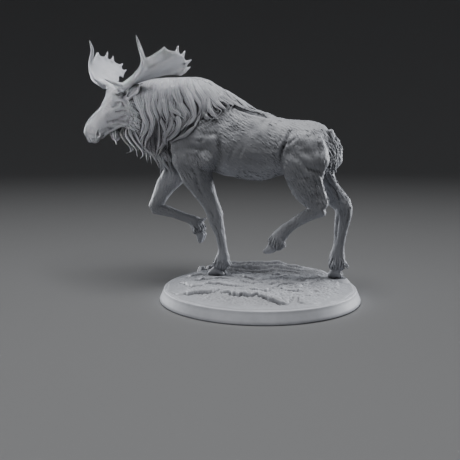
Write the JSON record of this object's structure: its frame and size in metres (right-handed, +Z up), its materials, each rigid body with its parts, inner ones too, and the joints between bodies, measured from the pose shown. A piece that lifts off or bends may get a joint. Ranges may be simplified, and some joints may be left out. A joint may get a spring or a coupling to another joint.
{
  "type": "moose figurine",
  "caption": "Tabletop figurine of a bull moose in mid stride with its head turned to its left, on a round base with rocky ground",
  "frame": {"origin": "centre of the round underside of the base, on the surface it stands on", "axes": "+Z up; the moose walks along -X, so +X points to its rump; its left side faces -Y"},
  "size_m": [0.0741, 0.05, 0.0652],
  "materials": {
    "body": "matte cast resin",
    "hair": "matte cast resin",
    "eyes": "matte cast resin",
    "antlers": "matte cast resin",
    "hooves": "matte cast resin",
    "ground": "matte cast resin",
    "base": "smooth matte cast resin"
  },
  "bodies": {
    "root": {"base_disc": "base", "ground": "ground", "trunk": "body", "neck": "body", "mane": "hair", "throat_mane": "hair", "tail": "body", "head": "body", "bell": "hair", "eye_left": "eyes", "eye_right": "eyes", "ear_left": "body", "ear_right": "body", "antler_left_beam": "antlers", "antler_left_brow_tine": "antlers", "antler_left_front_tine": "antlers", "antler_left_palm": "antlers", "antler_right_beam": "antlers", "antler_right_brow_tine": "antlers", "antler_right_front_tine": "antlers", "antler_right_palm": "antlers", "foreleg_left_upper": "body", "foreleg_left_lower": "body", "foreleg_left_hoof": "hooves", "foreleg_right_upper": "body", "foreleg_right_lower": "body", "foreleg_right_hoof": "hooves", "hindleg_left_upper": "body", "hindleg_left_lower": "body", "hindleg_left_hoof": "hooves", "hindleg_right_upper": "body", "hindleg_right_lower": "body", "hindleg_right_hoof": "hooves"}
  },
  "joints": []
}
